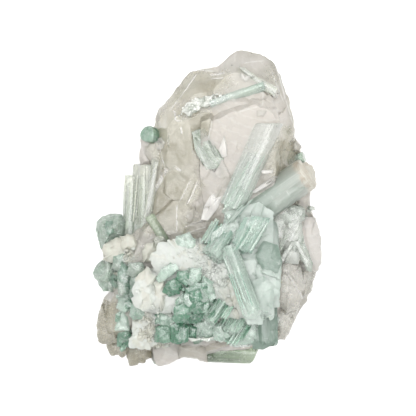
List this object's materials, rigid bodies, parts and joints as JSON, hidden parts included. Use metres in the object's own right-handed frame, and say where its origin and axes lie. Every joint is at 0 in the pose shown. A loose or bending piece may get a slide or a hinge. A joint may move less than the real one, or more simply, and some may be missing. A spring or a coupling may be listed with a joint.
{
  "type": "tourmaline mineral specimen",
  "caption": "Pale and green tourmaline prisms with white albite on a broken block of smoky, milky quartz, lying on its back.",
  "frame": {"origin": "middle of the specimen's length and width, on the surface that it rests on", "axes": "+Y along the specimen's length towards the bare quartz end, +Z out of the side with the crystals, +X to the right when that side is looked at"},
  "size_m": [0.0652, 0.09, 0.0346],
  "materials": {
    "smoky_quartz": "broken, frosted and clear",
    "white_albite": "sugary, satin",
    "pale_tourmaline": "striated, glassy",
    "aqua_tourmaline": "striated, glassy to matte",
    "green_tourmaline": "striated, glassy",
    "grey_tourmaline": "striated, glassy",
    "olive_tourmaline": "glassy"
  },
  "bodies": {
    "root": {"albite_crust": "white_albite", "bottom_bar": "olive_tourmaline", "centre_left_prism": "aqua_tourmaline", "centre_prism": "aqua_tourmaline", "clear_stub": "grey_tourmaline", "crossing_prism": "green_tourmaline", "emerald_head": "green_tourmaline", "enclosed_prism": "green_tourmaline", "groove_prism": "pale_tourmaline", "leaning_prism": "aqua_tourmaline", "left_albite": "white_albite", "left_fan": "grey_tourmaline", "left_green_cluster": "green_tourmaline", "left_grey_cluster": "grey_tourmaline", "long_prism": "pale_tourmaline", "lower_green_cluster": "green_tourmaline", "lower_stub": "green_tourmaline", "needle_bundle": "green_tourmaline", "olive_stick": "green_tourmaline", "pale_bar": "pale_tourmaline", "quartz_matrix": "smoky_quartz", "right_column": "aqua_tourmaline", "right_edge_prism": "green_tourmaline", "right_spray": "pale_tourmaline", "stained_prism": "aqua_tourmaline", "upper_green_cluster": "green_tourmaline", "upper_stub": "green_tourmaline"}
  },
  "joints": []
}
